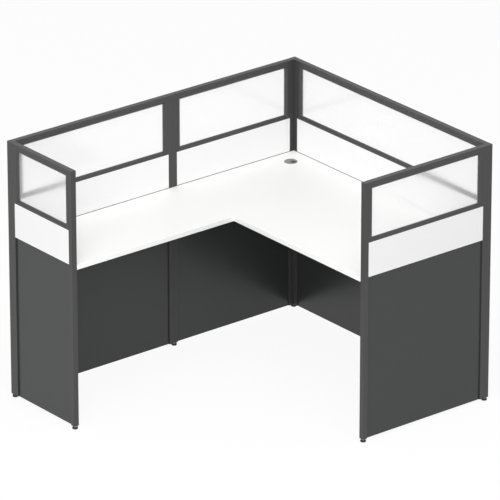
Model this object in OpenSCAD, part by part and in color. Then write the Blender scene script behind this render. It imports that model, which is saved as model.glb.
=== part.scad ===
/* [Partitions] */
// Height of the partitions above the floor
partition_h = 1200; // [1100:5:1400]
// Thickness of every partition and side of the square corner posts
partition_t = 25; // [25:0.5:30]
// Height of the frames above the floor
floor_gap = 15; // [14:0.5:22]
// Width of the left wing's panel, between its corner post and its free end
left_wing_w = 428; // [350:1:600]
// Width of the left panel of the back wall
back_left_w = 856; // [700:1:1100]
// Width of the right panel of the back wall
back_right_w = 685; // [600:1:900]
// Width of the side wall's panel, between its two corner posts
side_w = 1284; // [1100:1:1600]
// Width of the right wing's panel, between its corner post and its free end
right_wing_w = 685; // [500:1:800]

/* [Frame profiles] */
// Wall of the hollow aluminium profiles
profile_wall = 1.6; // [1.2:0.1:2]
// Radius of the profiles' long edges
profile_edge_r = 0.8; // [0.4:0.1:1.2]
// Width of a stile's face
stile_w = 23; // [22:0.5:28]
// Depth of the board groove along a stile's inner side
stile_groove_d = 5; // [4:0.5:6]
// Height of the top rails
top_rail_h = 17; // [14:0.5:24]
// Thickness of the cap on a top rail's free end
rail_cap_t = 2; // [1.5:0.1:3]
// Thickness of the cap on a corner post
post_cap_t = 3; // [2:0.1:5]
// Depth of the plugs that hold the caps in their profiles
cap_plug_d = 12; // [8:0.5:20]
// Play around a plug in its profile
plug_fit = 0.1; // [0.05:0.05:0.2]

/* [Windows] */
// Height of the flat of a sash's horizontal bars
sash_flat_h = 9; // [7:0.5:14]
// Width of the flat of a sash's upright bars
sash_flat_w = 15; // [10:0.5:24]
// Width of the bevel that slopes from a bar's flat down to the glass
sash_bevel_w = 8; // [5:0.5:12]
// Depth of that bevel
sash_bevel_d = 8; // [7:0.25:9.25]
// Depth of the glazing groove in a bar's nose
glazing_groove_d = 6; // [4:0.5:8]
// Play between the glass edge and the bottom of its groove
glass_edge_fit = 0.5; // [0.2:0.1:1]
// Thickness of the frosted glass
glass_t = 5; // [4:0.5:6]
// Play on each face of the glass
glass_face_fit = 0.2; // [0.1:0.05:0.3]

/* [Lower boards] */
// Thickness of the lower boards
board_t = 12; // [9:0.5:13]
// Play on each face of a board in its grooves
board_fit = 0.2; // [0.1:0.05:0.3]
// Play between a board's edge and the bottom of its groove
board_edge_fit = 0.5; // [0.2:0.1:1]
// Height that a board rises behind the cable covers
board_rise = 20; // [14:1:30]

/* [Cable way] */
// Height of the cable way, from the level of the worktop to the windows
cable_way_h = 160; // [140:1:220]
// Gap below the covers, which keeps their lower lips clear of the worktop
cover_gap = 2.5; // [1:0.5:4]
// Wall of a cable cover
cover_t = 2; // [1.5:0.1:2.2]
// Play at each end of a cover
cover_end_fit = 0.2; // [0.1:0.05:0.5]
// Play between a cover's lips and what they close against
cover_lip_fit = 0.3; // [0.2:0.05:0.5]
// Wall of the rails behind the covers
belt_wall = 1.3; // [1:0.1:1.6]
// Height of the lower rail behind the covers
lower_belt_h = 32; // [28:1:40]
// Height of the upper rail behind the covers
upper_belt_h = 22; // [18:1:28]
// Depth that the lower rail reaches down over the board's edge
belt_grip = 10; // [8:0.5:12]
// Radius of the bead on a cover's rib
bead_r = 1.2; // [1:0.05:1.3]
// Thickness of a cover's rib
rib_t = 1; // [0.8:0.05:1.1]
// Thickness of the two fingers that grip a bead
finger_t = 1.2; // [1:0.1:1.5]
// Size of the nib at a finger's tip
finger_nib = 0.4; // [0.3:0.05:0.4]
// Play around a bead between its fingers
bead_fit = 0.15; // [0.1:0.05:0.2]
// Play between the fingers' tips and the cover's wall
finger_fit = 0.3; // [0.2:0.05:0.4]

/* [Worktop] */
// Height of the worktop's surface above the floor
desk_h = 765; // [700:5:800]
// Thickness of the worktop
worktop_t = 22; // [18:0.5:36]
// Thickness of the band on the worktop's two front edges
edge_band_t = 2; // [1:0.5:3]
// Play between the worktop and the walls
worktop_fit = 0.5; // [0.3:0.1:1]

/* [Cable grommet] */
// Distance from the grommet's centre to the back wall and to the side wall
grommet_setback = 94; // [70:1:160]
// Outer diameter of the grommet's flange
grommet_d = 60; // [58:1:80]
// Diameter of the hole in the worktop
grommet_hole_d = 53; // [52:0.5:54]
// Play around the liner in that hole
grommet_fit = 0.2; // [0.1:0.05:0.4]
// Wall of the liner
liner_wall = 1.8; // [1.5:0.1:2.2]
// Height of the flange above the worktop
liner_flange_t = 2; // [1.8:0.1:3]
// Depth that the liner reaches below the worktop's surface
liner_depth = 22; // [18:1:30]
// Width of the ledge inside the liner that carries the cap
liner_ledge_w = 2.4; // [2:0.1:3]
// Height of that ledge
liner_ledge_h = 2; // [1.5:0.1:3]
// Thickness of the turning cap
cap_t = 3.5; // [2.5:0.1:4]
// Play around and below the cap
cap_fit = 0.3; // [0.25:0.05:0.4]
// Width of the cable notch in the cap
notch_w = 24; // [16:0.5:26]
// Depth of the cable notch, from the cap's rim
notch_d = 24; // [16:0.5:26]
// Turn of the cap as it is set, anticlockwise from the right
notch_turn = -65; // [-180:5:180]

/* [Worktop supports] */
// Thickness of the steel sheet
sheet_t = 3; // [2:0.5:4]
// Reach of the middle bracket from the back wall
middle_reach = 330; // [250:5:340]
// Reach of the corner bracket from the back wall
corner_reach = 240; // [180:5:300]
// Width of the middle bracket's flanges
middle_flange_w = 44; // [42:1:46]
// Drop of a bracket below the worktop at the wall
bracket_drop = 130; // [100:5:140]
// Height of a bracket's web at its front and its back lower corner
bracket_nose = 18; // [14:1:26]
// Radius of the lightening hole in a bracket's web
bracket_hole_r = 26; // [16:1:28]
// Side of the support angles under the worktop's ends
angle_side = 30; // [24:1:40]
// Distance from a support angle's ends to the ends of its panel
angle_inset = 6; // [3:1:9]

/* [Fasteners] */
// Diameter of the screws that hold the brackets and the worktop
screw_d = 4; // [3.5:0.1:4.2]
// Diameter of their heads
screw_head_d = 8; // [7:0.1:8.4]
// Height of their heads
screw_head_h = 2.4; // [2:0.1:3]
// Length that a screw reaches past the sheet
screw_reach = 12; // [9:0.5:13]
// Distance from the end of a flange to its outer screws
screw_margin = 30; // [20:1:40]
// Diameter of the bolts that join the frames
bolt_d = 5; // [4:0.1:6]
// Diameter of the bolts' heads
bolt_head_d = 9; // [8:0.1:10]
// Height of the bolts' heads
bolt_head_h = 3.5; // [3:0.1:4]
// Length that a bolt reaches into the neighbouring profile
bolt_reach = 6; // [4:0.5:8]
// Height of the lower joining bolts above the worktop
bolt_low = 62; // [58:1:70]
// Height of the upper joining bolts above the worktop
bolt_high = 112; // [80:1:114]
// Play around a bolt or screw in its hole
bolt_fit = 0.15; // [0.1:0.05:0.3]

/* [Levelling feet] */
// Diameter of a foot's disc
foot_d = 25; // [20:0.5:25]
// Height of a foot's disc
foot_disc_h = 8; // [6:0.5:10]
// Radius of the disc's edges
foot_edge_r = 1.5; // [1:0.1:2.5]
// Width of the hexagon above the disc, across its flats
foot_hex_af = 13; // [12:0.5:15]
// Diameter of the threaded stem
foot_stem_d = 8; // [6:0.5:8]
// Length of the stem above the hexagon
foot_stem_l = 34; // [30:1:50]
// Radial play of the stem in its bush
foot_stem_fit = 0.05; // [0.02:0.01:0.09]
// Height of the bush in the bottom of a profile
bush_h = 16; // [12:1:18]
// Distance from a panel's end to the centre of its foot
foot_inset = 11; // [8:0.1:11.2]

/* [Hidden] */
$fn = 64;
// How far a cutter reaches past the face that it cuts
overrun = 1;
// Hairline between two mitred or butted bars of one frame
seam = 0.1;

frame_grey = "#4f5151";
board_grey = "#4b4e4d";
board_white = "#f4f4f2";
glass_white = "#e8f0f0";
steel_grey = "#8a8d90";
plastic_grey = "#9a9c9d";
foot_black = "#242526";

// Half the plan's width and depth over the posts
half_w = partition_t + (back_left_w + back_right_w) / 2;
half_d = partition_t + side_w / 2;
// Inner faces of the walls around the desk
left_face = -half_w + partition_t;
right_face = half_w - partition_t;
back_face = half_d - partition_t;
front_face = -half_d + partition_t;
// Front edges of the worktop, level with the wings' free ends
left_run_front = back_face - left_wing_w;
right_run_front = right_face - right_wing_w;
// Seam between the two panels of the back wall
seam_x = left_face + back_left_w;
// Heights of the sash, which stands between the cable covers and the top rail
sash_z = desk_h + cable_way_h;
sash_h = partition_h - top_rail_h - sash_z;
worktop_z = desk_h - worktop_t;

tip_half_t = partition_t / 2 - sash_bevel_d;
stile_groove_w = board_t + 2 * board_fit;
chamber_w = stile_w - stile_groove_d - 2 * profile_wall;
chamber_t = partition_t - 2 * profile_wall;
belt_half_t = board_t / 2 + board_fit + belt_wall;
lower_belt_z = desk_h + board_rise - belt_grip;
upper_belt_z = sash_z - upper_belt_h;
// Heights of the snap joints, at the middle of each rail's chamber
lower_snap_z = lower_belt_z + (lower_belt_h + belt_grip) / 2;
upper_snap_z = upper_belt_z + upper_belt_h / 2;
finger_l = partition_t / 2 - cover_t - finger_fit - belt_half_t;
grommet_x = right_face - grommet_setback;
grommet_y = back_face - grommet_setback;
liner_r = grommet_hole_d / 2 - grommet_fit;
liner_bore_r = liner_r - liner_wall;
// Place of the corner bracket's screws, midway between its web and the flange's edge
corner_screw_x = (stile_w + sheet_t) / 4;

// The panels' own frame: X runs along the panel from its first end, Y across its thickness
module on_left_wing() {
    translate([-half_w + partition_t / 2, left_run_front, 0]) rotate([0, 0, 90]) children();
}
module on_back_left() { translate([left_face, half_d - partition_t / 2, 0]) children(); }
module on_back_right() { translate([seam_x, half_d - partition_t / 2, 0]) children(); }
module on_side() {
    translate([half_w - partition_t / 2, front_face, 0]) rotate([0, 0, 90]) children();
}
module on_right_wing() { translate([right_run_front, -half_d + partition_t / 2, 0]) children(); }

// The corner posts' own frame, at the middle of the post
module on_back_left_post() {
    translate([-half_w + partition_t / 2, half_d - partition_t / 2, 0]) children();
}
module on_back_right_post() {
    translate([half_w - partition_t / 2, half_d - partition_t / 2, 0]) children();
}
module on_front_right_post() {
    translate([half_w - partition_t / 2, -half_d + partition_t / 2, 0]) children();
}

// A section drawn as (across, up) is run along X
module along(length) { rotate([90, 0, 90]) linear_extrude(length) children(); }

// An outline drawn as (along, up) is run through the whole thickness of a panel
module through_panel() {
    rotate([90, 0, 0]) linear_extrude(partition_t + 2 * overrun, center = true) children();
}

// A rectangle from x = 0, centred on y, with its four corners rounded
module rounded_bar(width, thickness, r) {
    translate([r, -thickness / 2]) square([width - 2 * r, thickness]);
    translate([0, r - thickness / 2]) square([width, thickness - 2 * r]);
    for (x = [r, width - r], side = [-1, 1]) {
        translate([x, side * (thickness / 2 - r)]) circle(r);
    }
}

// Stile profile: a hollow extrusion with rounded edges and a groove for the lower board, with
// the chamber running up on both sides of the groove
module stile_section() {
    arm_t = (chamber_t - stile_groove_w) / 2 - profile_wall;
    difference() {
        rounded_bar(stile_w, partition_t, profile_edge_r);
        translate([stile_w - stile_groove_d, -stile_groove_w / 2]) {
            square([stile_groove_d + overrun, stile_groove_w]);
        }
        translate([profile_wall, -chamber_t / 2]) square([chamber_w, chamber_t]);
        for (side = [-1, 1]) {
            translate([profile_wall, side * (chamber_t - arm_t) / 2 - arm_t / 2]) {
                square([stile_w - 2 * profile_wall, arm_t]);
            }
        }
    }
}

module stile() {
    translate([0, 0, floor_gap]) {
        linear_extrude(partition_h - top_rail_h - floor_gap) stile_section();
    }
}

// The two stiles of a panel, drilled for the bolts and screws that pass through them
module stiles(width) {
    color(frame_grey) {
        stile();
        translate([width, 0, 0]) mirror([1, 0, 0]) stile();
    }
}

// Outline of a top rail, with its two upper edges rounded
module top_rail_outline() {
    rotate(90) rounded_bar(top_rail_h, partition_t, profile_edge_r);
    translate([-partition_t / 2, 0]) square([partition_t, top_rail_h / 2]);
}

// Top rail: a tube that lies over the stiles and the sash
module top_rail_section() {
    difference() {
        top_rail_outline();
        translate([-chamber_t / 2, profile_wall]) square([chamber_t, top_rail_h - 2 * profile_wall]);
    }
}

module top_rail(width, free_end = false) {
    start = free_end ? rail_cap_t : 0;
    color(frame_grey) translate([start, 0, partition_h - top_rail_h]) {
        along(width - start) top_rail_section();
    }
}

// Cap on the free end of a top rail, held by a plug in the rail
module rail_end_cap() {
    plug_h = top_rail_h - 2 * (profile_wall + plug_fit);
    plug_t = chamber_t - 2 * plug_fit;
    translate([0, 0, partition_h - top_rail_h]) {
        along(rail_cap_t) top_rail_outline();
        translate([0, -plug_t / 2, profile_wall + plug_fit]) {
            cube([rail_cap_t + cap_plug_d, plug_t, plug_h]);
        }
    }
}

// Sash bar profile, from its outer edge (x = 0) to its nose: a flat on both faces, a bevel on
// both faces down to the glass, the glazing groove in the nose and a chamber in the root
module sash_bar_section(flat) {
    groove_w = glass_t + 2 * glass_face_fit;
    depth = flat + sash_bevel_w;
    difference() {
        polygon([
            [0, -partition_t / 2], [flat, -partition_t / 2], [depth, -tip_half_t],
            [depth, tip_half_t], [flat, partition_t / 2], [0, partition_t / 2]
        ]);
        translate([depth - glazing_groove_d, -groove_w / 2]) square([glazing_groove_d + overrun, groove_w]);
        translate([profile_wall, -chamber_t / 2]) {
            square([depth - glazing_groove_d - 2 * profile_wall, chamber_t]);
        }
    }
}

// Horizontal sash bar of a sash of this width, its bevels mitred at both ends
module sash_rail(width) {
    nose = sash_flat_w + sash_bevel_w + seam;
    flat = sash_flat_w + seam;
    intersection() {
        along(width) rotate(90) sash_bar_section(sash_flat_h);
        through_panel() polygon([
            [flat, 0], [width - flat, 0], [width - flat, sash_flat_h],
            [width - nose, sash_flat_h + sash_bevel_w], [nose, sash_flat_h + sash_bevel_w],
            [flat, sash_flat_h]
        ]);
    }
}

// Upright sash bar, its bevels mitred to those of the horizontal bars
module sash_upright() {
    nose = sash_flat_w + sash_bevel_w;
    intersection() {
        linear_extrude(sash_h) sash_bar_section(sash_flat_w);
        through_panel() polygon([
            [0, 0], [sash_flat_w, 0], [sash_flat_w, sash_flat_h],
            [nose, sash_flat_h + sash_bevel_w], [nose, sash_h - sash_flat_h - sash_bevel_w],
            [sash_flat_w, sash_h - sash_flat_h], [sash_flat_w, sash_h], [0, sash_h]
        ]);
    }
}

// Window sash of a panel: four bevelled, mitred bars around the glass
module window_frame(width) {
    opening = width - 2 * stile_w;
    color(frame_grey) translate([stile_w, 0, sash_z]) {
        sash_rail(opening);
        translate([0, 0, sash_h]) mirror([0, 0, 1]) sash_rail(opening);
        sash_upright();
        translate([opening, 0, 0]) mirror([1, 0, 0]) sash_upright();
    }
}

module glass(width) {
    grip = glazing_groove_d - glass_edge_fit;
    margin_x = stile_w + sash_flat_w + sash_bevel_w - grip;
    margin_z = sash_flat_h + sash_bevel_w - grip;
    color(glass_white) translate([margin_x, -glass_t / 2, sash_z + margin_z]) {
        cube([width - 2 * margin_x, glass_t, sash_h - 2 * margin_z]);
    }
}

// Lower board, held in the stiles' grooves and in the lower rail behind the covers
module lower_board(width) {
    margin = stile_w - stile_groove_d + board_edge_fit;
    color(board_grey) translate([margin, -board_t / 2, floor_gap]) {
        cube([width - 2 * margin, board_t, desk_h + board_rise - floor_gap]);
    }
}

// Two fingers with nibbed tips on each side of a rail, which grip the beads of the covers
module snap_fingers() {
    gap = bead_r + bead_fit;
    for (side = [0, 1], up = [0, 1]) {
        mirror([side, 0]) mirror([0, up]) translate([belt_half_t, gap]) {
            square([finger_l, finger_t]);
            translate([finger_l - finger_nib, -finger_nib]) square([finger_nib, finger_t]);
        }
    }
}

// Lower rail profile: a box over the channel that takes the board's upper edge
module lower_belt_section() {
    inner_w = 2 * (belt_half_t - belt_wall);
    difference() {
        translate([-belt_half_t, 0]) square([2 * belt_half_t, lower_belt_h]);
        translate([-stile_groove_w / 2, -overrun]) square([stile_groove_w, belt_grip + overrun]);
        translate([-inner_w / 2, belt_grip + belt_wall]) {
            square([inner_w, lower_belt_h - belt_grip - 2 * belt_wall]);
        }
    }
    translate([0, lower_snap_z - lower_belt_z]) snap_fingers();
}

module upper_belt_section() {
    inner_w = 2 * (belt_half_t - belt_wall);
    difference() {
        translate([-belt_half_t, 0]) square([2 * belt_half_t, upper_belt_h]);
        translate([-inner_w / 2, belt_wall]) square([inner_w, upper_belt_h - 2 * belt_wall]);
    }
    translate([0, upper_snap_z - upper_belt_z]) snap_fingers();
}

// The two rails behind a panel's cable covers, which tie its stiles together
module belt_rails(width) {
    color(frame_grey) translate([stile_w, 0, 0]) {
        translate([0, 0, lower_belt_z]) along(width - 2 * stile_w) lower_belt_section();
        translate([0, 0, upper_belt_z]) along(width - 2 * stile_w) upper_belt_section();
    }
}

// Cable cover profile: a wall with a lip along each edge and two ribs that end in a bead
module cover_section() {
    face = partition_t / 2;
    inner = face - cover_t;
    bead_x = belt_half_t + bead_r + bead_fit / 2;
    lower_lip = board_t / 2 + cover_lip_fit;
    upper_lip = belt_half_t + cover_lip_fit;
    bottom = desk_h + cover_gap;
    translate([inner, bottom]) square([cover_t, sash_z - bottom]);
    translate([lower_lip, bottom]) square([face - lower_lip, cover_t]);
    translate([upper_lip, sash_z - cover_t]) square([face - upper_lip, cover_t]);
    for (snap_z = [lower_snap_z, upper_snap_z]) {
        translate([bead_x, snap_z]) circle(bead_r);
        translate([bead_x, snap_z - rib_t / 2]) square([face - bead_x, rib_t]);
    }
}

// The two covers that close a panel's cable way, one on each face
module cable_covers(width) {
    color(board_white) translate([stile_w + cover_end_fit, 0, 0]) {
        for (side = [0, 1]) {
            mirror([0, side, 0]) along(width - 2 * (stile_w + cover_end_fit)) cover_section();
        }
    }
}

// Corner post: a square tube with rounded edges
module post() {
    color(frame_grey) translate([0, 0, floor_gap]) {
        linear_extrude(partition_h - post_cap_t - floor_gap) difference() {
            translate([-partition_t / 2, 0]) rounded_bar(partition_t, partition_t, profile_edge_r);
            square([chamber_t, chamber_t], center = true);
        }
    }
}

// Cap on a corner post, held by a plug in the post
module post_cap() {
    plug_t = chamber_t - 2 * plug_fit;
    translate([0, 0, partition_h - post_cap_t]) {
        linear_extrude(post_cap_t) {
            translate([-partition_t / 2, 0]) rounded_bar(partition_t, partition_t, profile_edge_r);
        }
    }
    translate([-plug_t / 2, -plug_t / 2, partition_h - post_cap_t - cap_plug_d]) {
        cube([plug_t, plug_t, cap_plug_d]);
    }
}

module post_caps() {
    color(frame_grey) {
        on_back_left_post() post_cap();
        on_back_right_post() post_cap();
        on_front_right_post() post_cap();
    }
}

module rail_end_caps() {
    color(frame_grey) {
        on_left_wing() rail_end_cap();
        on_right_wing() rail_end_cap();
    }
}

// One joining bolt, from its seat in a stile's groove through the stile into its neighbour,
// which starts at x = 0; grow widens the shaft to the hole that it passes through
module bolt_shaft(grow) {
    seat = stile_w - stile_groove_d;
    translate([-bolt_reach - grow, 0, 0]) rotate([0, 90, 0]) {
        cylinder(h = bolt_reach + seat + 2 * grow, d = bolt_d + 2 * grow);
    }
}

module bolt() {
    bolt_shaft(0);
    translate([stile_w - stile_groove_d, 0, 0]) rotate([0, 90, 0]) {
        cylinder(h = bolt_head_h, d = bolt_head_d);
    }
}

// The places of the joining bolts: every seam between a panel and its neighbour
module at_bolts() {
    for (z = [desk_h + bolt_low, desk_h + bolt_high]) {
        on_left_wing() translate([left_wing_w, 0, z]) mirror([1, 0, 0]) children();
        on_back_left() translate([0, 0, z]) children();
        on_back_left() translate([back_left_w, 0, z]) mirror([1, 0, 0]) children();
        on_back_right() translate([back_right_w, 0, z]) mirror([1, 0, 0]) children();
        on_side() translate([side_w, 0, z]) mirror([1, 0, 0]) children();
        on_side() translate([0, 0, z]) children();
        on_right_wing() translate([right_wing_w, 0, z]) mirror([1, 0, 0]) children();
    }
}

module frame_bolts() { color(steel_grey) at_bolts() bolt(); }

// Cuts the holes for the joining bolts and the support screws into a profile or the worktop
module drilled() {
    difference() {
        children();
        at_bolts() bolt_shaft(bolt_fit);
        at_screws() screw_shaft(bolt_fit);
    }
}

// The centres of the six feet, each with the size of the chamber that holds its bush
module at_stile_feet() {
    on_left_wing() translate([foot_inset, 0, 0]) children();
    on_back_right() translate([foot_inset, 0, 0]) children();
    on_right_wing() translate([foot_inset, 0, 0]) children();
}

module at_post_feet() {
    on_back_left_post() children();
    on_back_right_post() children();
    on_front_right_post() children();
}

// Levelling foot: a rounded disc, a hexagon that turns it and a threaded stem
module foot() {
    r = foot_d / 2;
    color(foot_black) {
        rotate_extrude() {
            square([r - foot_edge_r, foot_disc_h]);
            translate([0, foot_edge_r]) square([r, foot_disc_h - 2 * foot_edge_r]);
            for (z = [foot_edge_r, foot_disc_h - foot_edge_r]) {
                translate([r - foot_edge_r, z]) circle(foot_edge_r);
            }
        }
        translate([0, 0, foot_disc_h]) {
            cylinder(h = floor_gap - foot_disc_h, d = foot_hex_af / cos(30), $fn = 6);
        }
        translate([0, 0, foot_disc_h]) {
            cylinder(h = floor_gap - foot_disc_h + foot_stem_l, d = foot_stem_d);
        }
    }
}

// Bush for a foot's stem: a block that fills the profile's chamber, from x = start
module bush(start, width) {
    block_w = width - 2 * plug_fit;
    block_t = chamber_t - 2 * plug_fit;
    translate([0, 0, floor_gap]) difference() {
        translate([start + plug_fit, -block_t / 2, 0]) cube([block_w, block_t, bush_h]);
        translate([0, 0, -overrun]) {
            cylinder(h = bush_h + 2 * overrun, r = foot_stem_d / 2 + foot_stem_fit);
        }
    }
}

module foot_bushes() {
    color(foot_black) {
        at_stile_feet() bush(profile_wall - foot_inset, chamber_w);
        at_post_feet() bush(-chamber_t / 2, chamber_t);
    }
}

// Plan of the L-shaped worktop, with its front edges set back by inset
module worktop_plan(inset) {
    left = left_face + worktop_fit;
    right = right_face - worktop_fit;
    back = back_face - worktop_fit;
    front = front_face + worktop_fit;
    polygon([
        [left, back], [right, back], [right, front], [right_run_front + inset, front],
        [right_run_front + inset, left_run_front + inset], [left, left_run_front + inset]
    ]);
}

module worktop() {
    color(board_white) difference() {
        translate([0, 0, worktop_z]) linear_extrude(worktop_t) worktop_plan(edge_band_t);
        translate([grommet_x, grommet_y, worktop_z - overrun]) {
            cylinder(h = worktop_t + 2 * overrun, d = grommet_hole_d);
        }
    }
}

// Band on the front edges of the two runs, mitred in the inner corner
module worktop_edge_band() {
    corner = [right_run_front, left_run_front];
    left_length = corner[0] + edge_band_t - left_face - worktop_fit;
    right_length = corner[1] + edge_band_t - front_face - worktop_fit;
    color(board_white) translate([0, 0, worktop_z]) {
        intersection() {
            translate([left_face + worktop_fit, corner[1], 0]) along(left_length) edge_band_section();
            linear_extrude(worktop_t) polygon([
                [left_face, corner[1]], [corner[0] - seam, corner[1]],
                [corner[0] + edge_band_t - seam, corner[1] + edge_band_t],
                [left_face, corner[1] + edge_band_t]
            ]);
        }
        intersection() {
            translate([corner[0], front_face + worktop_fit, 0]) rotate([0, 0, 90]) mirror([0, 1, 0]) {
                along(right_length) edge_band_section();
            }
            linear_extrude(worktop_t) polygon([
                [corner[0], front_face], [corner[0], corner[1] - seam],
                [corner[0] + edge_band_t, corner[1] + edge_band_t - seam],
                [corner[0] + edge_band_t, front_face]
            ]);
        }
    }
}

// Section of the band: its two outer corners are rounded to half its thickness
module edge_band_section() {
    r = edge_band_t / 2;
    translate([r, 0]) square([edge_band_t - r, worktop_t]);
    translate([0, r]) square([edge_band_t, worktop_t - 2 * r]);
    for (z = [r, worktop_t - r]) {
        translate([r, z]) circle(r);
    }
}

// Liner: a flanged tube in the worktop's hole, with a ledge that carries the cap
module grommet_liner() {
    flange_r = grommet_d / 2;
    ledge_z = liner_flange_t - cap_t - cap_fit;
    color(plastic_grey) translate([grommet_x, grommet_y, desk_h]) rotate_extrude() {
        polygon([
            [liner_bore_r, -liner_depth], [liner_r, -liner_depth], [liner_r, 0], [flange_r, 0],
            [flange_r, liner_flange_t / 3], [flange_r - liner_flange_t, liner_flange_t],
            [liner_bore_r, liner_flange_t], [liner_bore_r, ledge_z],
            [liner_bore_r - liner_ledge_w, ledge_z],
            [liner_bore_r - liner_ledge_w, ledge_z - liner_ledge_h],
            [liner_bore_r, ledge_z - liner_ledge_h - liner_ledge_w]
        ]);
    }
}

// Cap: a disc that turns in the liner, with a round-ended notch for the cables
module grommet_cap() {
    cap_r = liner_bore_r - cap_fit;
    end_x = cap_r - notch_d + notch_w / 2;
    color(plastic_grey) translate([grommet_x, grommet_y, desk_h + liner_flange_t - cap_t]) {
        rotate([0, 0, notch_turn]) difference() {
            cylinder(h = cap_t, r = cap_r);
            translate([end_x, 0, -overrun]) cylinder(h = cap_t + 2 * overrun, d = notch_w);
            translate([end_x, -notch_w / 2, -overrun]) {
                cube([cap_r, notch_w, cap_t + 2 * overrun]);
            }
        }
    }
}

// Cantilever bracket in its own frame: the wall is at y = 0, the worktop rests at z = 0 and
// the bracket reaches towards +Y; a pierced web stiffens its two flanges
module cantilever_bracket(reach, flange_w) {
    hole_place = bracket_nose + bracket_hole_r;
    color(steel_grey) {
        translate([-flange_w / 2, 0, -bracket_drop]) cube([flange_w, sheet_t, bracket_drop]);
        translate([-flange_w / 2, 0, -sheet_t]) cube([flange_w, reach, sheet_t]);
        difference() {
            translate([-sheet_t / 2, 0, 0]) rotate([90, 0, 90]) linear_extrude(sheet_t) polygon([
                [0, 0], [reach, 0], [reach, -bracket_nose], [bracket_nose, -bracket_drop],
                [0, -bracket_drop]
            ]);
            translate([-sheet_t / 2 - overrun, hole_place, -hole_place]) rotate([0, 90, 0]) {
                cylinder(h = sheet_t + 2 * overrun, r = bracket_hole_r);
            }
        }
    }
}

module on_middle_bracket() { translate([seam_x, back_face, worktop_z]) rotate([0, 0, 180]) children(); }
module on_corner_bracket() {
    translate([right_face - stile_w / 2, back_face, worktop_z]) rotate([0, 0, 180]) children();
}

// Support angle in its own frame: it runs along X from its panel's first end, with one leg on
// the panel's face at y = 0 and the other under the worktop at z = 0, towards +Y
module support_angle(width) {
    color(steel_grey) translate([angle_inset, 0, 0]) along(width - 2 * angle_inset) {
        translate([0, -angle_side]) square([sheet_t, angle_side]);
        translate([0, -sheet_t]) square([angle_side, sheet_t]);
    }
}

module on_left_angle() {
    translate([left_face, back_face, worktop_z]) rotate([0, 0, -90]) children();
}
module on_right_angle() { translate([right_run_front, front_face, worktop_z]) children(); }

// One support screw: its head lies on the sheet at z = 0 and its shaft points along +Z through
// the sheet; grow widens the shaft to the hole that it passes through
module screw_shaft(grow) {
    translate([0, 0, -grow]) cylinder(h = sheet_t + screw_reach + 2 * grow, d = screw_d + 2 * grow);
}

module screw() {
    screw_shaft(0);
    translate([0, 0, -screw_head_h]) cylinder(h = screw_head_h, d = screw_head_d);
}

// Turns a screw's frame so that it points up from under a flange, or at the wall behind it
module up_from(x, y) { translate([x, y, -sheet_t]) children(); }
module into_wall(x, z) { translate([x, sheet_t, z]) rotate([90, 0, 0]) children(); }

// The screws of a bracket: beside the web under the worktop, and on the stiles behind it
module at_bracket_screws(reach, top_x, wall_xs) {
    for (y = [2 * screw_margin, reach - screw_margin]) {
        up_from(top_x, y) children();
    }
    for (x = wall_xs, z = [-screw_margin, screw_margin - bracket_drop]) {
        into_wall(x, z) children();
    }
}

// The screws of a support angle: one on each stile of its panel and two under the worktop
module at_angle_screws(width) {
    for (x = [stile_w / 2, width - stile_w / 2]) {
        into_wall(x, -(angle_side + sheet_t) / 2) children();
    }
    for (x = [stile_w + screw_margin, width - stile_w - screw_margin]) {
        up_from(x, (angle_side + sheet_t) / 2) children();
    }
}

module at_screws() {
    on_middle_bracket() {
        at_bracket_screws(middle_reach, stile_w / 2, [-stile_w / 2, stile_w / 2]) children();
    }
    on_corner_bracket() {
        at_bracket_screws(corner_reach, -corner_screw_x, [-corner_screw_x]) children();
    }
    on_left_angle() at_angle_screws(left_wing_w) children();
    on_right_angle() at_angle_screws(right_wing_w) children();
}

module support_screws() { color(steel_grey) at_screws() screw(); }

drilled() on_left_wing() stiles(left_wing_w);  // left_wing_stiles
on_left_wing() top_rail(left_wing_w, true);  // left_wing_top_rail
on_left_wing() belt_rails(left_wing_w);  // left_wing_belt_rails
on_left_wing() window_frame(left_wing_w);  // left_wing_window_frame
on_left_wing() glass(left_wing_w);  // left_wing_glass
on_left_wing() cable_covers(left_wing_w);  // left_wing_cable_covers
on_left_wing() lower_board(left_wing_w);  // left_wing_lower_board
drilled() on_back_left() stiles(back_left_w);  // back_left_stiles
on_back_left() top_rail(back_left_w);  // back_left_top_rail
on_back_left() belt_rails(back_left_w);  // back_left_belt_rails
on_back_left() window_frame(back_left_w);  // back_left_window_frame
on_back_left() glass(back_left_w);  // back_left_glass
on_back_left() cable_covers(back_left_w);  // back_left_cable_covers
on_back_left() lower_board(back_left_w);  // back_left_lower_board
drilled() on_back_right() stiles(back_right_w);  // back_right_stiles
on_back_right() top_rail(back_right_w);  // back_right_top_rail
on_back_right() belt_rails(back_right_w);  // back_right_belt_rails
on_back_right() window_frame(back_right_w);  // back_right_window_frame
on_back_right() glass(back_right_w);  // back_right_glass
on_back_right() cable_covers(back_right_w);  // back_right_cable_covers
on_back_right() lower_board(back_right_w);  // back_right_lower_board
drilled() on_side() stiles(side_w);  // side_stiles
on_side() top_rail(side_w);  // side_top_rail
on_side() belt_rails(side_w);  // side_belt_rails
on_side() window_frame(side_w);  // side_window_frame
on_side() glass(side_w);  // side_glass
on_side() cable_covers(side_w);  // side_cable_covers
on_side() lower_board(side_w);  // side_lower_board
drilled() on_right_wing() stiles(right_wing_w);  // right_wing_stiles
on_right_wing() top_rail(right_wing_w, true);  // right_wing_top_rail
on_right_wing() belt_rails(right_wing_w);  // right_wing_belt_rails
on_right_wing() window_frame(right_wing_w);  // right_wing_window_frame
on_right_wing() glass(right_wing_w);  // right_wing_glass
on_right_wing() cable_covers(right_wing_w);  // right_wing_cable_covers
on_right_wing() lower_board(right_wing_w);  // right_wing_lower_board
drilled() on_back_left_post() post();  // back_left_post
drilled() on_back_right_post() post();  // back_right_post
drilled() on_front_right_post() post();  // front_right_post
post_caps();
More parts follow.
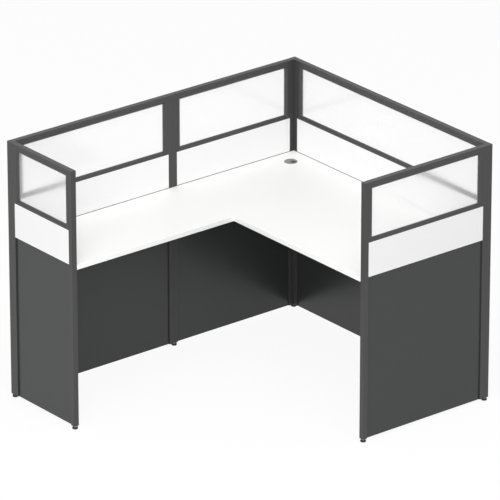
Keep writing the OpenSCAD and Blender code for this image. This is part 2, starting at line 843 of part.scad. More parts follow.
rail_end_caps();
frame_bolts();
foot_bushes();
on_left_wing() translate([foot_inset, 0, 0]) foot();  // foot_left_wing
on_back_left_post() foot();  // foot_back_left
on_back_right() translate([foot_inset, 0, 0]) foot();  // foot_back_middle
on_back_right_post() foot();  // foot_back_right
on_front_right_post() foot();  // foot_front_right
on_right_wing() translate([foot_inset, 0, 0]) foot();  // foot_right_wing
drilled() worktop();
worktop_edge_band();
grommet_liner();
grommet_cap();
drilled() on_middle_bracket() {  // bracket_middle
    cantilever_bracket(middle_reach, middle_flange_w);
}
drilled() on_corner_bracket() {  // bracket_corner
    cantilever_bracket(corner_reach, stile_w);
}
drilled() on_left_angle() support_angle(left_wing_w);  // support_angle_left
drilled() on_right_angle() support_angle(right_wing_w);  // support_angle_right
support_screws();
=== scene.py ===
"""Looks of the cubicle workstation around its CAD model: an add-on that is run as a script."""

import math

import bmesh
import bpy
from bpy.props import FloatProperty, FloatVectorProperty, IntProperty, PointerProperty
from mathutils import Matrix, Vector


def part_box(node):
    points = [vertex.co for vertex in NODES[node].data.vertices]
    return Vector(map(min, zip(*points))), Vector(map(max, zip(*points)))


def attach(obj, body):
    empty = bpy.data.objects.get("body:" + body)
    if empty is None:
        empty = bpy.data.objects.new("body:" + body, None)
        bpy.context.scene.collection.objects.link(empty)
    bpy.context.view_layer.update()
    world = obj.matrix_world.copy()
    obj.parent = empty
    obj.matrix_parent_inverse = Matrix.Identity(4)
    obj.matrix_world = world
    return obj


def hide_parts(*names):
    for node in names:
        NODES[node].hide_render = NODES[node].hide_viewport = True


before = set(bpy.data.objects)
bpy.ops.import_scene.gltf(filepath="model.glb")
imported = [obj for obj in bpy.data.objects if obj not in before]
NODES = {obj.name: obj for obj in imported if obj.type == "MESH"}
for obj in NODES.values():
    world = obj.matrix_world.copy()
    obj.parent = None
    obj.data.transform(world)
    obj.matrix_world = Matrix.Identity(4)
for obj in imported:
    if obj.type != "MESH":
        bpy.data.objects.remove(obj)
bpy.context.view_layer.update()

bl_info = {
    "name": "Cubicle Workstation Looks",
    "version": (1, 0, 0),
    "blender": (4, 5, 0),
    "location": "3D View > Sidebar > Cubicle",
    "description": "Dresses the partitions, worktop and fittings and builds the stage",
    "category": "Object",
}

MM = 0.001
ROOT = "frame"

PANELS = ("left_wing", "back_left", "back_right", "side", "right_wing")
FRAME_PARTS = ("stiles", "top_rail", "belt_rails", "window_frame")
POSTS = ("back_left_post", "back_right_post", "front_right_post", "post_caps", "rail_end_caps")
FEET = tuple(name for name in NODES if name.startswith("foot_") and name != "foot_bushes")
SUPPORTS = ("bracket_middle", "bracket_corner", "support_angle_left", "support_angle_right")

# Edges that turn by more than this stay sharp
SHARP_EDGE = math.radians(35)

# Each softbox's place and diameter, in metres
FRONT_SOFTBOX = ((-6.0, -4.15, 3.4), 5)
OVERHEAD_SOFTBOX = ((-1.2, -1.4, 5.2), 3.5)


def linear(code):
    """An sRGB hex colour such as '4f5151' as linear red, green and blue."""
    values = [int(code[i:i + 2], 16) / 255 for i in (0, 2, 4)]
    return tuple(v / 12.92 if v <= 0.04045 else ((v + 0.055) / 1.055) ** 2.4 for v in values)


def colour(name, description, code):
    """A colour property whose default is an sRGB hex colour."""
    return FloatVectorProperty(
        name=name, description=description, subtype="COLOR", size=3, min=0, max=1,
        default=linear(code),
    )


def millimetres(name, description, value):
    """A length property whose default is given in millimetres."""
    return FloatProperty(
        name=name, description=description, default=value * MM, unit="LENGTH"
    )


class CubicleFinish(bpy.types.PropertyGroup):
    """Colours of the finishes and the frosting of the panes."""

    frame_colour: colour("Frame", "Powder coat on the aluminium profiles", "3e3e3e")
    board_colour: colour("Lower board", "Melamine face of the lower boards", "323433")
    cover_colour: colour("Cable cover", "Extruded PVC of the cable covers", "f2f2f2")
    worktop_colour: colour("Worktop", "Melamine face of the worktop", "f4f4f3")
    band_colour: colour("Edge band", "ABS band on the worktop's front edges", "f7f7f6")
    support_colour: colour("Supports", "Powder coat on the steel brackets and angles", "6a6d6e")
    grommet_colour: colour("Grommet", "Moulded ABS of the grommet", "828485")
    foot_colour: colour("Foot pads", "Moulded nylon of the levelling feet", "262728")
    frosting: FloatProperty(
        name="Frosting", description="Roughness of the etched panes",
        default=0.15, min=0, max=1, subtype="FACTOR",
    )


class CubicleFittings(bpy.types.PropertyGroup):
    """Sizes of the small fittings that are modelled as meshes."""

    pad_height: millimetres("Pad height", "Height of a foot's pad", 8)
    hexagon_width: millimetres("Hexagon", "Width of a foot's hexagon across its flats", 13)
    stud_diameter: millimetres("Stud", "Outer diameter of a foot's thread", 8)
    pad_flutes: IntProperty(
        name="Flutes", description="Grip flutes round a foot's pad", default=30, min=3
    )
    screw_diameter: millimetres("Screw", "Outer diameter of the support screws", 4)
    bolt_diameter: millimetres("Bolt", "Outer diameter of the frame bolts", 5)
    notch_width: millimetres("Notch width", "Width of the notch in the grommet's cap", 24)
    notch_depth: millimetres("Notch depth", "Depth of that notch from the cap's rim", 24)
    notch_turn: FloatProperty(
        name="Notch turn", description="Turn of the cap, anticlockwise from +X",
        default=math.radians(-65), subtype="ANGLE",
    )


class CubicleStage(bpy.types.PropertyGroup):
    """The camera's place, the floor and the level of the light."""

    azimuth: FloatProperty(
        name="Azimuth", description="Direction of view, from +Y towards -X",
        default=math.radians(-38.88), subtype="ANGLE",
    )
    elevation: FloatProperty(
        name="Elevation", description="Height of the view above the horizon",
        default=math.radians(23.06), subtype="ANGLE",
    )
    distance: FloatProperty(
        name="Distance", description="From the camera to the point that it looks at",
        default=24.925, unit="LENGTH",
    )
    target: FloatVectorProperty(
        name="Target", description="Point that the camera and the lamps are aimed at",
        default=(0.024, 0.027, 0.685), size=3, subtype="XYZ", unit="LENGTH",
    )
    lens: FloatProperty(
        name="Lens", description="Focal length in millimetres on a 36 mm frame",
        default=416, unit="CAMERA",
    )
    sky_level: FloatProperty(
        name="Sky", description="Strength of the even studio light", default=0.6, min=0
    )
    front_level: FloatProperty(
        name="Front", description="Power of the low softbox at the front left",
        default=200, min=0, unit="POWER",
    )
    top_level: FloatProperty(
        name="Top", description="Power of the softbox overhead", default=118, min=0, unit="POWER"
    )
    floor_bounce: FloatProperty(
        name="Floor bounce", description="Share of the light that the floor throws back",
        default=0.9, min=0, max=1, subtype="FACTOR",
    )
    floor_shadow: FloatProperty(
        name="Floor shadow", description="How much of the object's shadow shows on the white floor",
        default=0.08, min=0, max=1, subtype="FACTOR",
    )


def add_node(tree, kind, settings=None, inputs=None):
    """Adds one node with its settings; an input takes a value or the socket that feeds it."""
    node = tree.nodes.new(kind)
    for name, value in (settings or {}).items():
        setattr(node, name, value)
    for name, value in (inputs or {}).items():
        if isinstance(value, bpy.types.NodeSocket):
            tree.links.new(value, node.inputs[name])
        else:
            node.inputs[name].default_value = value
    return node


def new_surface(name, **inputs):
    """A material with one Principled shader that takes these inputs; returns all three."""
    material = bpy.data.materials.new(name)
    material.use_nodes = True
    tree = material.node_tree
    tree.nodes.clear()
    shader = add_node(tree, "ShaderNodeBsdfPrincipled", inputs=inputs)
    add_node(tree, "ShaderNodeOutputMaterial", inputs={"Surface": shader.outputs["BSDF"]})
    return material, tree, shader


def noise(tree, grain, detail, stretch=(1, 1, 1)):
    """Noise whose grain is a size in metres; a stretch below 1 draws it out along that axis."""
    place = add_node(tree, "ShaderNodeTexCoord")
    stretched = add_node(tree, "ShaderNodeMapping", inputs={
        "Vector": place.outputs["Object"], "Scale": stretch
    })
    texture = add_node(tree, "ShaderNodeTexNoise", inputs={
        "Vector": stretched.outputs["Vector"], "Scale": 1 / grain, "Detail": detail
    })
    return texture.outputs["Fac"]


def spread(tree, factor, low, high):
    """A value that runs from low to high with the factor."""
    remap = add_node(tree, "ShaderNodeMapRange", inputs={
        "Value": factor, "To Min": low, "To Max": high
    })
    return remap.outputs["Result"]


def shades(tree, factor, base, contrast):
    """The base colour, darker and lighter by this share of itself with the factor."""
    dark = tuple(c * (1 - contrast) for c in base) + (1,)
    light = tuple(min(1, c * (1 + contrast)) for c in base) + (1,)
    # Sockets 6 and 7 of a mix node are its two colours, and output 2 is the mixed one
    mix = add_node(tree, "ShaderNodeMix", {"data_type": "RGBA"}, {0: factor, 6: dark, 7: light})
    return mix.outputs[2]


def relief(tree, shader, factor, depth):
    """Bumps of this depth in metres on the shader's surface."""
    bump = add_node(tree, "ShaderNodeBump", inputs={
        "Height": factor, "Distance": depth, "Strength": 1.0
    })
    tree.links.new(bump.outputs["Normal"], shader.inputs["Normal"])


def powder_coat(name, base, roughness):
    """Satin polyester powder coat, sprayed dry and baked: the faint orange peel of the melt spreads
    its sheen, so that it mirrors a bright floor softly and turns pale where it is seen aslant."""
    material, tree, shader = new_surface(name, IOR=1.45)
    # The peel of the real coat is near 1 mm; it is drawn at 3 mm so that it just shows
    peel = noise(tree, 3 * MM, detail=1.5)
    cloud = noise(tree, 60 * MM, detail=1.0)
    sheen = spread(tree, cloud, low=roughness - 0.05, high=roughness + 0.05)
    tree.links.new(shades(tree, cloud, base, contrast=0.03), shader.inputs["Base Color"])
    tree.links.new(sheen, shader.inputs["Roughness"])
    relief(tree, shader, peel, depth=0.03 * MM)
    return material


def melamine(name, base, roughness, contrast):
    """Melamine-faced chipboard, pressed against a finely grained plate: even in colour, with a
    pearl grain that blurs the bright floor it mirrors."""
    material, tree, shader = new_surface(name, IOR=1.45)
    # The pressed pearl grain is near 0.8 mm; it is drawn at 2.5 mm so that it just shows
    pearl = noise(tree, 2.5 * MM, detail=2.0)
    cloud = noise(tree, 120 * MM, detail=1.0)
    sheen = spread(tree, pearl, low=roughness - 0.06, high=roughness + 0.06)
    tree.links.new(shades(tree, cloud, base, contrast), shader.inputs["Base Color"])
    tree.links.new(sheen, shader.inputs["Roughness"])
    relief(tree, shader, pearl, depth=0.02 * MM)
    return material


def extruded_pvc(name, base):
    """Rigid PVC, drawn through a die: smooth and slightly waxy, with the die's faint lines along
    the run."""
    material, tree, shader = new_surface(name, IOR=1.53)
    # Die lines are a few tenths of a millimetre apart; they are drawn 4 mm apart so that they
    # show, and stretched along X and Y, because every cover runs level
    lines = noise(tree, 4 * MM, detail=1.0, stretch=(0.02, 0.02, 1))
    tree.links.new(shades(tree, lines, base, contrast=0.008), shader.inputs["Base Color"])
    tree.links.new(spread(tree, lines, low=0.38, high=0.46), shader.inputs["Roughness"])
    relief(tree, shader, lines, depth=0.008 * MM)
    return material


def etched_glass(name, roughness):
    """Float glass etched with acid on both faces: it blurs what stands behind it, more the further
    away that is, and lets the room's light through to the surfaces behind it."""
    # What isn't transmitted, the etched faces scatter as a white haze
    material, tree, shader = new_surface(name, **{
        "Base Color": linear("ffffff") + (1,), "Transmission Weight": 0.85, "IOR": 1.5,
        "Roughness": roughness,
    })
    # The pits of the etch are near 0.05 mm; they are drawn at 1.2 mm so that they show close by
    etch = noise(tree, 1.2 * MM, detail=1.0)
    relief(tree, shader, etch, depth=0.01 * MM)
    # Both faces of the real pane together pass about nine tenths of the light that falls on
    # other surfaces, so the rays that carry it go straight through
    passed = add_node(tree, "ShaderNodeBsdfTransparent", inputs={
        "Color": linear("f3f4f4") + (1,)
    })
    path = add_node(tree, "ShaderNodeLightPath")
    lighting = add_node(tree, "ShaderNodeMath", {"operation": "MAXIMUM"}, {
        0: path.outputs["Is Shadow Ray"], 1: path.outputs["Is Diffuse Ray"]
    })
    mix = add_node(tree, "ShaderNodeMixShader", inputs={
        0: lighting.outputs["Value"], 1: shader.outputs["BSDF"], 2: passed.outputs["BSDF"]
    })
    tree.links.new(mix.outputs["Shader"], tree.nodes["Material Output"].inputs["Surface"])
    return material


def zinc_plate(name):
    """Zinc-plated steel, barrel plated: a bright grey metal with soft cloudy patches."""
    material, tree, shader = new_surface(name, Metallic=1.0)
    # The patches of the plating are a few millimetres across
    cloud = noise(tree, 3 * MM, detail=2.0)
    plate = shades(tree, cloud, linear("c3c6c9"), contrast=0.08)
    tree.links.new(plate, shader.inputs["Base Color"])
    tree.links.new(spread(tree, cloud, low=0.28, high=0.42), shader.inputs["Roughness"])
    return material


def moulded_plastic(name, base, roughness):
    """Injection-moulded plastic from a spark-eroded tool: an even fine texture that keeps the
    highlights soft."""
    material, tree, shader = new_surface(name, IOR=1.5)
    # The eroded texture is near 0.2 mm; it is drawn at 0.6 mm so that it shows from close by
    grit = noise(tree, 0.6 * MM, detail=2.0)
    sheen = spread(tree, grit, low=roughness - 0.05, high=roughness + 0.05)
    tree.links.new(shades(tree, grit, base, contrast=0.04), shader.inputs["Base Color"])
    tree.links.new(sheen, shader.inputs["Roughness"])
    relief(tree, shader, grit, depth=0.02 * MM)
    return material


def dress(names, material):
    """Gives CAD nodes this material in place of their own."""
    for name in names:
        slots = NODES[name].data.materials
        slots.clear()
        slots.append(material)


def new_piece(name, mesh_data, material, body, replaces):
    """Makes an object of a bmesh, shaded smooth but for its sharp edges, that rides on a body
    and stands for the CAD nodes that it replaces."""
    mesh = bpy.data.meshes.new(name)
    bmesh.ops.recalc_face_normals(mesh_data, faces=mesh_data.faces)
    mesh_data.to_mesh(mesh)
    mesh_data.free()
    mesh.materials.append(material)
    mesh.shade_smooth()
    mesh.set_sharp_from_angle(angle=SHARP_EDGE)
    piece = bpy.data.objects.new(name, mesh)
    bpy.context.scene.collection.objects.link(piece)
    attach(piece, body)
    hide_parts(*replaces)


def ring(outline, height, segments):
    """Points round the Z axis at this height; outline is a radius or gives one for an angle."""
    points = []
    for i in range(segments):
        angle = 2 * math.pi * i / segments
        radius = outline(angle) if callable(outline) else outline
        points.append(Vector((radius * math.cos(angle), radius * math.sin(angle), height)))
    return points


def skin(mesh_data, rings, place):
    """Joins rings of equally many points into one closed skin and closes both ends."""
    loops = [[mesh_data.verts.new(place @ point) for point in points] for points in rings]
    for lower, upper in zip(loops, loops[1:]):
        for i, vertex in enumerate(lower):
            j = (i + 1) % len(lower)
            mesh_data.faces.new((vertex, lower[j], upper[j], upper[i]))
    mesh_data.faces.new(list(reversed(loops[0])))
    mesh_data.faces.new(loops[-1])


def hexagon(across_flats):
    """Outline of a hexagon with this width across its flats."""
    def radius(angle):
        from_flat = (angle + math.pi / 6) % (math.pi / 3) - math.pi / 6
        return across_flats / 2 / math.cos(from_flat)
    return radius


def cross(arm_length, arm_width):
    """Outline of a cross recess with four arms."""
    def radius(angle):
        from_arm = (angle + math.pi / 4) % (math.pi / 2) - math.pi / 4
        to_side = max(abs(math.sin(from_arm)), 1e-6)  # never zero, because it divides
        return min(arm_length, arm_width / 2 / to_side)
    return radius


def thread(diameter, pitch, start, end, segments, steps=6):
    """Rings of a screw thread along Z, from start to end, tapered over its last turn; steps is
    how many rings one turn has."""
    depth = 0.6 * pitch
    count = max(2, round(abs(end - start) / pitch * steps))
    rings = []
    for k in range(count + 1):
        height = start + (end - start) * k / count
        taper = min(1, (count - k) / steps)

        def radius(angle, height=height, taper=taper):
            turn = (height / pitch - angle / (2 * math.pi)) % 1
            crest = 1 - abs(2 * turn - 1)
            return diameter / 2 - depth * (1 - crest * taper)

        rings.append(ring(radius, height, segments))
    return rings


def level_foot(node, fittings, nylon, zinc):
    """One levelling foot: a fluted nylon pad, and a zinc-plated hexagon with its threaded stud."""
    low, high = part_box(node)
    bush_low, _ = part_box("foot_bushes")
    centre = (low + high) / 2
    place = Matrix.Translation((centre.x, centre.y, 0))
    radius = (high.x - low.x) / 2
    height = fittings.pad_height
    pad_segments, nut_segments, stud_segments = 4 * fittings.pad_flutes, 48, 24
    fillet, flute_depth = 1.5 * MM, 0.35 * MM
    chamfer, slope = 0.8 * MM, math.tan(math.radians(60))
    pitch = 1.25 * MM

    def fluted(angle):
        return radius - flute_depth * (0.5 + 0.5 * math.cos(fittings.pad_flutes * angle))

    pad_outlines = (
        (radius - 2.4 * fillet, 0), (radius - fillet, 0), (radius - 0.3 * fillet, 0.3 * fillet),
        (radius, fillet), (fluted, 1.4 * fillet),
        (fluted, height - 1.4 * fillet), (radius, height - fillet),
        (radius - 0.3 * fillet, height - 0.3 * fillet), (radius - fillet, height),
        (radius - 2.4 * fillet, height),
    )
    pad = bmesh.new()
    skin(pad, [ring(outline, level, pad_segments) for outline, level in pad_outlines], place)
    new_piece(node + "_pad", pad, nylon, node, (node,))

    nut = hexagon(fittings.hexagon_width)

    def chamfered(drop):
        return lambda angle: min(nut(angle), fittings.hexagon_width / 2 + slope * drop)

    drops = [0, 0.25 * chamfer, 0.5 * chamfer, 0.75 * chamfer, chamfer]
    lower = [ring(chamfered(drop), height + drop, nut_segments) for drop in drops]
    upper = [ring(chamfered(drop), bush_low.z - drop, nut_segments) for drop in reversed(drops)]
    stem = bmesh.new()
    skin(stem, lower + upper, place)
    stud = thread(fittings.stud_diameter, pitch, bush_low.z, high.z, stud_segments)
    skin(stem, stud, place)
    new_piece(node + "_stud", stem, zinc, node, (node,))


def separate_solids(mesh):
    """The points of each separate solid in a mesh."""
    weld = 0.001 * MM
    solids = bmesh.new()
    solids.from_mesh(mesh)
    bmesh.ops.remove_doubles(solids, verts=solids.verts, dist=weld)
    left = set(solids.verts)
    groups = []
    while left:
        group, edge = [], [left.pop()]
        while edge:
            vertex = edge.pop()
            group.append(vertex.co.copy())
            for link in vertex.link_edges:
                other = link.other_vert(vertex)
                if other in left:
                    left.remove(other)
                    edge.append(other)
        groups.append(group)
    solids.free()
    return groups


def screw_axis(points):
    """The middle of a screw's outer head face, the direction of its shaft and its length. The
    shaft lies along the screw's longest side, and the head is at its wider end."""
    low = Vector([min(p[i] for p in points) for i in range(3)])
    high = Vector([max(p[i] for p in points) for i in range(3)])
    size = high - low
    middle = (low + high) / 2
    axis = max(range(3), key=lambda i: size[i])
    across = (axis + 1) % 3
    end_face = 0.1 * MM
    at_low = [abs(p[across] - middle[across]) for p in points if p[axis] - low[axis] < end_face]
    at_high = [abs(p[across] - middle[across]) for p in points if high[axis] - p[axis] < end_face]
    sign = 1 if max(at_low) > max(at_high) else -1
    head = middle.copy()
    head[axis] = low[axis] if sign > 0 else high[axis]
    direction = Vector((0, 0, 0))
    direction[axis] = sign
    return head, direction, size[axis]


def along(head, direction):
    """Places a screw that is drawn along +Z from its head's outer face."""
    return Matrix.Translation(head) @ direction.to_track_quat("Z", "Y").to_matrix().to_4x4()


def pan_screw(mesh_data, place, length, diameter):
    """A pan-head screw with a cross recess, drawn in shares of its diameter."""
    head_radius, head_height, segments = diameter, 0.6 * diameter, 32
    recess = cross(0.52 * diameter, 0.2 * diameter)
    rings = [
        ring(lambda angle: 0.6 * recess(angle), 0.7 * head_height, segments),
        ring(recess, 0.06 * head_height, segments),
        ring(0.72 * head_radius, 0.06 * head_height, segments),
        ring(0.93 * head_radius, 0.3 * head_height, segments),
        ring(head_radius, 0.65 * head_height, segments),
        ring(head_radius, head_height, segments),
        ring(0.5 * diameter, head_height, segments),
    ]
    shank = head_height + 0.1 * diameter
    rings += thread(diameter, 0.35 * diameter, shank, length, segments)
    skin(mesh_data, rings, place)


def button_bolt(mesh_data, place, length, diameter):
    """A machine bolt with a rounded head and a hexagon socket, drawn in shares of its diameter."""
    head_radius, head_height, segments = 0.9 * diameter, 0.7 * diameter, 48
    socket = hexagon(0.6 * diameter)
    rings = [
        ring(socket, 0.6 * head_height, segments),
        ring(socket, 0, segments),
        ring(0.55 * head_radius, 0, segments),
        ring(0.85 * head_radius, 0.25 * head_height, segments),
        ring(head_radius, 0.7 * head_height, segments),
        ring(head_radius, head_height, segments),
        ring(0.5 * diameter, head_height, segments),
    ]
    shank, pitch = head_height + 0.1 * diameter, 0.8 * MM
    rings += thread(diameter, pitch, shank, length, segments, steps=4)
    skin(mesh_data, rings, place)


def build_fasteners(node, draw, diameter, material):
    """Replaces a node of plain screws by drawn ones at the same places."""
    mesh_data = bmesh.new()
    screws = [screw_axis(points) for points in separate_solids(NODES[node].data)]
    screws.sort(key=lambda screw: tuple(round(c, 5) for c in screw[0]))
    for head, direction, length in screws:
        draw(mesh_data, along(head, direction), length, diameter)
    new_piece(node + "_drawn", mesh_data, material, ROOT, (node,))


def notched_disc(radius, half_width, centre, turn, height):
    """Outline of a disc with one round-ended notch, anticlockwise; the notch's end is centred at
    this distance from the disc's middle."""
    rim_steps, side_steps, end_steps = 119, 6, 24
    half = math.asin(half_width / radius)
    rim_x = radius * math.cos(half)
    points = []
    for i in range(rim_steps + 1):
        angle = half + (2 * math.pi - 2 * half) * i / rim_steps
        points.append((radius * math.cos(angle), radius * math.sin(angle)))
    sides = [rim_x + (centre - rim_x) * i / side_steps for i in range(1, side_steps)]
    points += [(x, -half_width) for x in sides]
    for i in range(end_steps + 1):
        angle = -math.pi / 2 - math.pi * i / end_steps
        points.append((centre + half_width * math.cos(angle), half_width * math.sin(angle)))
    points += [(x, half_width) for x in reversed(sides)]
    return [Matrix.Rotation(turn, 4, "Z") @ Vector((x, y, height)) for x, y in points]


def build_grommet_cap(fittings, material):
    """The grommet's cap: a moulded disc with a raised rim round its edge and its cable notch."""
    low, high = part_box("grommet_cap")
    liner_low, liner_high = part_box("grommet_liner")
    middle = (liner_low + liner_high) / 2
    # The notch points away from -X, so the cap's full radius lies on that side
    radius = middle.x - low.x
    thickness = high.z - low.z
    half_width = fittings.notch_width / 2
    notch_end = radius - fittings.notch_depth + half_width
    # The edge's rounding, the raised rim's width and the depth of the dish inside it
    edge, rim, dish = 0.5 * MM, 2.2 * MM, 0.7 * MM
    steps = (
        (edge, 0), (0, edge), (0, thickness - edge), (0.3 * edge, thickness - 0.3 * edge),
        (edge, thickness), (rim, thickness), (rim + dish, thickness - dish),
    )
    cap = bmesh.new()
    skin(cap, [
        notched_disc(radius - inset, half_width + inset, notch_end, fittings.notch_turn, height)
        for inset, height in steps
    ], Matrix.Translation((middle.x, middle.y, low.z)))
    new_piece(
        "grommet_cap_moulded", cap, material, "grommet_cap", ("grommet_cap",)
    )


def background_rays(tree):
    """A factor that is 1 for the rays that show the background: seen, mirrored or through glass."""
    path = add_node(tree, "ShaderNodeLightPath")
    factor = path.outputs["Is Camera Ray"]
    for ray in ("Is Glossy Ray", "Is Transmission Ray"):
        factor = add_node(
            tree, "ShaderNodeMath", {"operation": "MAXIMUM"}, {0: factor, 1: path.outputs[ray]}
        ).outputs["Value"]
    return factor


def build_world(stage):
    """An even studio sky that lights at one level and shows as plain white."""
    world = bpy.data.worlds.new("studio_sky")
    bpy.context.scene.world = world
    world.use_nodes = True
    tree = world.node_tree
    tree.nodes.clear()
    white = (1, 1, 1, 1)
    light = add_node(tree, "ShaderNodeBackground", inputs={
        "Color": white, "Strength": stage.sky_level
    })
    shown = add_node(tree, "ShaderNodeBackground", inputs={"Color": white, "Strength": 1.0})
    mix = add_node(tree, "ShaderNodeMixShader", inputs={
        0: background_rays(tree), 1: light.outputs[0], 2: shown.outputs[0]
    })
    add_node(tree, "ShaderNodeOutputWorld", inputs={"Surface": mix.outputs[0]})


def floor_paint(stage):
    """Matt white studio floor: it shows white with a faint shadow and throws back most of the
    light that falls on it."""
    material = bpy.data.materials.new("studio_floor_paint")
    material.use_nodes = True
    tree = material.node_tree
    tree.nodes.clear()
    bounce = stage.floor_bounce
    matt = add_node(tree, "ShaderNodeBsdfDiffuse", inputs={
        "Color": (bounce, bounce, bounce, 1)
    })
    glow = add_node(tree, "ShaderNodeEmission", inputs={"Color": (1, 1, 1, 1), "Strength": 1.0})
    shaded = add_node(tree, "ShaderNodeBsdfDiffuse", inputs={"Color": (1, 1, 1, 1)})
    seen = add_node(tree, "ShaderNodeMixShader", inputs={
        0: stage.floor_shadow, 1: glow.outputs[0], 2: shaded.outputs[0]
    })
    mix = add_node(tree, "ShaderNodeMixShader", inputs={
        0: background_rays(tree), 1: matt.outputs[0], 2: seen.outputs[0]
    })
    add_node(tree, "ShaderNodeOutputMaterial", inputs={"Surface": mix.outputs[0]})
    return material


def build_floor(stage):
    """A wide flat floor under the feet, whose edge is lost in the white of the sky."""
    reach, cells = 60, 12
    mesh_data = bmesh.new()
    bmesh.ops.create_grid(mesh_data, x_segments=cells, y_segments=cells, size=reach)
    mesh = bpy.data.meshes.new("studio_floor")
    mesh_data.to_mesh(mesh)
    mesh_data.free()
    mesh.materials.append(floor_paint(stage))
    floor = bpy.data.objects.new("studio_floor", mesh)
    bpy.context.scene.collection.objects.link(floor)


def build_lamp(stage, name, softbox, power):
    """One round softbox, aimed at the middle of the workstation."""
    place, diameter = softbox
    lamp = bpy.data.lights.new(name, "AREA")
    lamp.shape = "DISK"
    lamp.size = diameter
    lamp.energy = power
    holder = bpy.data.objects.new(name, lamp)
    holder.location = place
    aim = Vector(stage.target) - holder.location
    holder.rotation_euler = aim.to_track_quat("-Z", "Y").to_euler()
    bpy.context.scene.collection.objects.link(holder)


def build_camera(stage):
    """The photograph's viewpoint, as a long lens from far away."""
    back = Vector((
        math.sin(stage.azimuth) * math.cos(stage.elevation),
        -math.cos(stage.azimuth) * math.cos(stage.elevation),
        math.sin(stage.elevation),
    ))
    data = bpy.data.cameras.new("photo_view")
    data.lens = stage.lens
    data.sensor_width = 36
    data.clip_start = 1
    data.clip_end = 200
    camera = bpy.data.objects.new("photo_view", data)
    camera.location = Vector(stage.target) + back * stage.distance
    camera.rotation_euler = (-back).to_track_quat("-Z", "Y").to_euler()
    bpy.context.scene.collection.objects.link(camera)
    bpy.context.scene.camera = camera


class CUBICLE_OT_frames(bpy.types.Operator):
    """Dress the panels' profiles, the posts and their caps in powder coat"""

    bl_idname = "cubicle.frames"
    bl_label = "Dress Frames"

    def execute(self, context):
        base = tuple(context.scene.cubicle_finish.frame_colour)
        coat = powder_coat("powder_coated_aluminium", base, roughness=0.48)
        dress([f"{panel}_{part}" for panel in PANELS for part in FRAME_PARTS], coat)
        dress(POSTS, coat)
        return {"FINISHED"}


class CUBICLE_OT_boards(bpy.types.Operator):
    """Dress the lower boards in dark melamine"""

    bl_idname = "cubicle.boards"
    bl_label = "Dress Lower Boards"

    def execute(self, context):
        base = tuple(context.scene.cubicle_finish.board_colour)
        face = melamine("dark_melamine_board", base, roughness=0.3, contrast=0.025)
        dress([panel + "_lower_board" for panel in PANELS], face)
        return {"FINISHED"}


class CUBICLE_OT_covers(bpy.types.Operator):
    """Dress the cable covers in extruded PVC"""

    bl_idname = "cubicle.covers"
    bl_label = "Dress Cable Covers"

    def execute(self, context):
        base = tuple(context.scene.cubicle_finish.cover_colour)
        pvc = extruded_pvc("extruded_pvc", base)
        dress([panel + "_cable_covers" for panel in PANELS], pvc)
        return {"FINISHED"}


class CUBICLE_OT_panes(bpy.types.Operator):
    """Dress the window panes in etched glass"""

    bl_idname = "cubicle.panes"
    bl_label = "Dress Panes"

    def execute(self, context):
        glass = etched_glass("acid_etched_glass", context.scene.cubicle_finish.frosting)
        dress([panel + "_glass" for panel in PANELS], glass)
        return {"FINISHED"}


class CUBICLE_OT_worktop(bpy.types.Operator):
    """Dress the worktop in white melamine and its front edges in ABS band"""

    bl_idname = "cubicle.worktop"
    bl_label = "Dress Worktop"

    def execute(self, context):
        finish = context.scene.cubicle_finish
        face = melamine(
            "white_melamine_worktop", tuple(finish.worktop_colour), roughness=0.5, contrast=0.006
        )
        band = moulded_plastic("abs_edge_band", tuple(finish.band_colour), roughness=0.45)
        dress(["worktop"], face)
        dress(["worktop_edge_band"], band)
        return {"FINISHED"}


class CUBICLE_OT_grommet(bpy.types.Operator):
    """Dress the grommet's liner and build its moulded cap"""

    bl_idname = "cubicle.grommet"
    bl_label = "Build Grommet"

    def execute(self, context):
        base = tuple(context.scene.cubicle_finish.grommet_colour)
        plastic = moulded_plastic("moulded_abs_grommet", base, roughness=0.45)
        dress(["grommet_liner"], plastic)
        build_grommet_cap(context.scene.cubicle_fittings, plastic)
        return {"FINISHED"}


class CUBICLE_OT_supports(bpy.types.Operator):
    """Dress the brackets and angles under the worktop in powder coat"""

    bl_idname = "cubicle.supports"
    bl_label = "Dress Supports"

    def execute(self, context):
        base = tuple(context.scene.cubicle_finish.support_colour)
        coat = powder_coat("powder_coated_steel", base, roughness=0.5)
        dress(SUPPORTS, coat)
        return {"FINISHED"}


class CUBICLE_OT_fasteners(bpy.types.Operator):
    """Build the support screws and the frame bolts with their heads and threads"""

    bl_idname = "cubicle.fasteners"
    bl_label = "Build Fasteners"

    def execute(self, context):
        fittings = context.scene.cubicle_fittings
        zinc = zinc_plate("zinc_plated_steel")
        build_fasteners("support_screws", pan_screw, fittings.screw_diameter, zinc)
        build_fasteners("frame_bolts", button_bolt, fittings.bolt_diameter, zinc)
        return {"FINISHED"}


class CUBICLE_OT_feet(bpy.types.Operator):
    """Build the levelling feet and dress their bushes"""

    bl_idname = "cubicle.feet"
    bl_label = "Build Feet"

    def execute(self, context):
        base = tuple(context.scene.cubicle_finish.foot_colour)
        nylon = moulded_plastic("moulded_nylon_foot", base, roughness=0.5)
        zinc = zinc_plate("zinc_plated_stud")
        dress(["foot_bushes"], nylon)
        for node in FEET:
            level_foot(node, context.scene.cubicle_fittings, nylon, zinc)
        return {"FINISHED"}


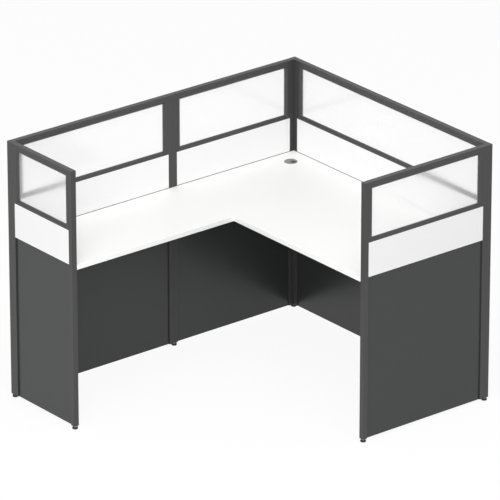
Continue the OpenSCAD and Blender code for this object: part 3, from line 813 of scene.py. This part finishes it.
class CUBICLE_OT_stage(bpy.types.Operator):
    """Build the floor, the studio light and the camera"""

    bl_idname = "cubicle.stage"
    bl_label = "Build Stage"

    def execute(self, context):
        stage = context.scene.cubicle_stage
        build_world(stage)
        build_floor(stage)
        build_lamp(stage, "front_softbox", FRONT_SOFTBOX, stage.front_level)
        build_lamp(stage, "overhead_softbox", OVERHEAD_SOFTBOX, stage.top_level)
        build_camera(stage)
        context.scene.view_settings.view_transform = "Standard"
        return {"FINISHED"}


OPERATORS = (
    CUBICLE_OT_frames, CUBICLE_OT_boards, CUBICLE_OT_covers, CUBICLE_OT_panes,
    CUBICLE_OT_worktop, CUBICLE_OT_grommet, CUBICLE_OT_supports, CUBICLE_OT_fasteners,
    CUBICLE_OT_feet, CUBICLE_OT_stage,
)


class CUBICLE_PT_looks(bpy.types.Panel):
    """Lists the operators and the properties that they use"""

    bl_idname = "CUBICLE_PT_looks"
    bl_label = "Cubicle Workstation"
    bl_space_type = "VIEW_3D"
    bl_region_type = "UI"
    bl_category = "Cubicle"

    def draw(self, context):
        for operator in OPERATORS:
            self.layout.operator(operator.bl_idname)
        for group_name, group in GROUPS.items():
            box = self.layout.box()
            for name in group.__annotations__:
                box.prop(getattr(context.scene, group_name), name)


GROUPS = {
    "cubicle_finish": CubicleFinish,
    "cubicle_fittings": CubicleFittings,
    "cubicle_stage": CubicleStage,
}
CLASSES = tuple(GROUPS.values()) + OPERATORS + (CUBICLE_PT_looks,)


def register():
    """Registers the classes and hangs the groups of properties on the scene."""
    for cls in CLASSES:
        bpy.utils.register_class(cls)
    for name, group in GROUPS.items():
        setattr(bpy.types.Scene, name, PointerProperty(type=group))


def unregister():
    """Takes back what register did."""
    for name in GROUPS:
        delattr(bpy.types.Scene, name)
    for cls in reversed(CLASSES):
        bpy.utils.unregister_class(cls)


def main():
    """Builds every piece and the stage in order."""
    register()
    for operator in OPERATORS:
        group, name = operator.bl_idname.split(".")
        getattr(getattr(bpy.ops, group), name)()


if __name__ == "__main__":
    main()
